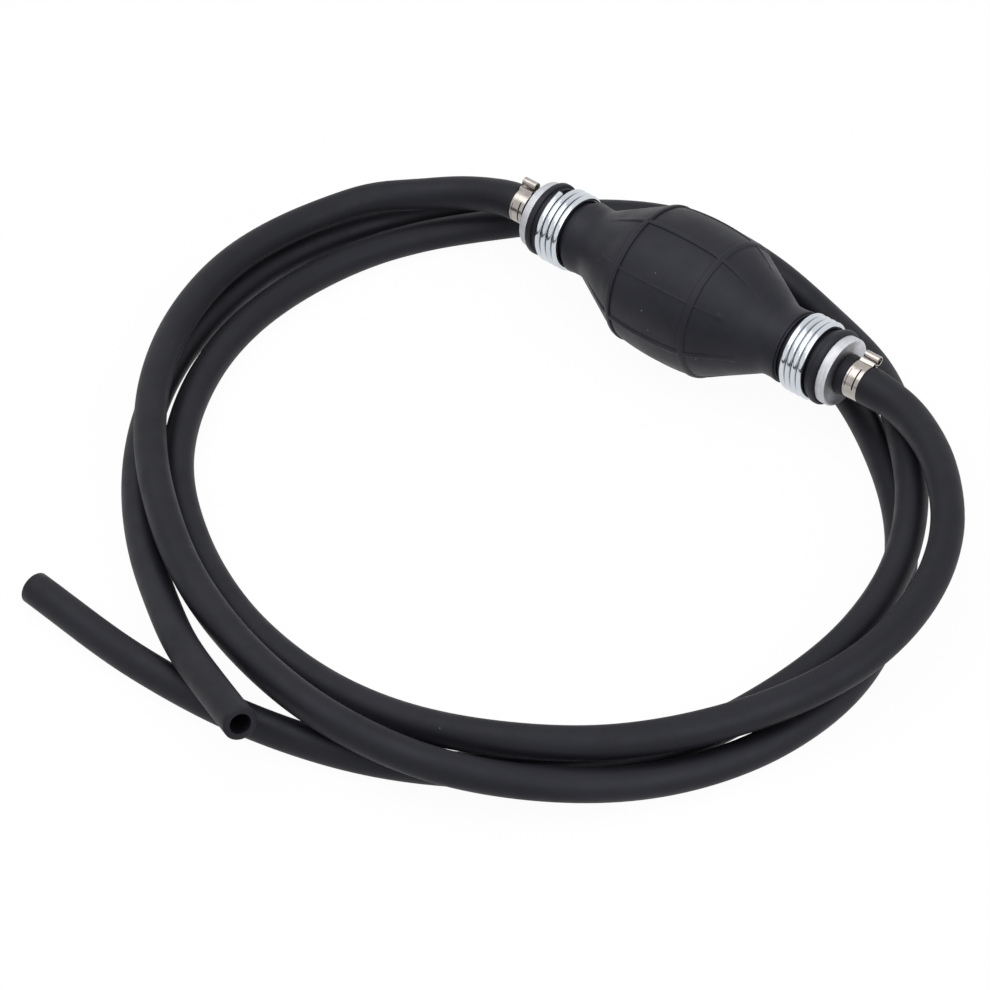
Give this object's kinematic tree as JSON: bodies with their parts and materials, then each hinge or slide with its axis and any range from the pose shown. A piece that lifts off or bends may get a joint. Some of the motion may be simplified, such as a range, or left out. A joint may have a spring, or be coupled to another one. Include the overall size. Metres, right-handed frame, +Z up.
{
  "type": "siphon bulb pump",
  "caption": "Hand primer bulb that siphons liquid: a rubber squeeze bulb with one-way ball valves in aluminium fittings, wire neck coils, and rubber hoses held by rolled strip clamps",
  "frame": {"origin": "on the floor under the middle of the bulb", "axes": "X runs along the pump from the inlet fitting to the outlet fitting, Y is level and points away from the side that the hoses are laid on, Z is up"},
  "size_m": [0.3558, 0.3594, 0.0629],
  "materials": {
    "bulb_rubber": "moulded matt black rubber with fine moulding beads",
    "hose_rubber": "extruded smooth black rubber, semi-matt",
    "seal_rubber": "nitrile sealing ring, matt",
    "turned_aluminium": "turned aluminium with fine turning marks",
    "valve_brass": "turned brass",
    "ball_steel": "polished stainless steel ball",
    "spring_steel": "stainless spring wire",
    "ring_steel": "phosphated spring steel",
    "zinc_wire": "bright zinc-plated steel wire",
    "clamp_steel": "nickel-plated steel strip, glossy"
  },
  "bodies": {
    "root": {"bulb": "bulb_rubber", "inlet_fitting": "turned_aluminium", "inlet_valve_seat": "valve_brass", "inlet_seal_ring": "seal_rubber", "inlet_valve_spring": "spring_steel", "inlet_spring_retainer": "valve_brass", "inlet_snap_ring": "ring_steel", "inlet_neck_coil": "zinc_wire", "inlet_hose_clamp": "clamp_steel", "inlet_hose": "hose_rubber", "outlet_fitting": "turned_aluminium", "outlet_valve_seat": "valve_brass", "outlet_seal_ring": "seal_rubber", "outlet_valve_spring": "spring_steel", "outlet_spring_retainer": "valve_brass", "outlet_snap_ring": "ring_steel", "outlet_neck_coil": "zinc_wire", "outlet_hose_clamp": "clamp_steel", "outlet_hose": "hose_rubber"},
    "inlet_ball": {"inlet_valve_ball": "ball_steel"},
    "outlet_ball": {"outlet_valve_ball": "ball_steel"}
  },
  "joints": [
    {"name": "inlet_ball_lift", "type": "slide", "parent": "root", "child": "inlet_ball", "axis": [1, 0, 0], "range_m": [0, 0.002], "stiffness_N_per_m": 40, "springref_m": -0.002, "deforming": ["inlet_valve_spring"]},
    {"name": "outlet_ball_lift", "type": "slide", "parent": "root", "child": "outlet_ball", "axis": [1, 0, 0], "range_m": [0, 0.002], "stiffness_N_per_m": 40, "springref_m": -0.002, "deforming": ["outlet_valve_spring"]}
  ]
}
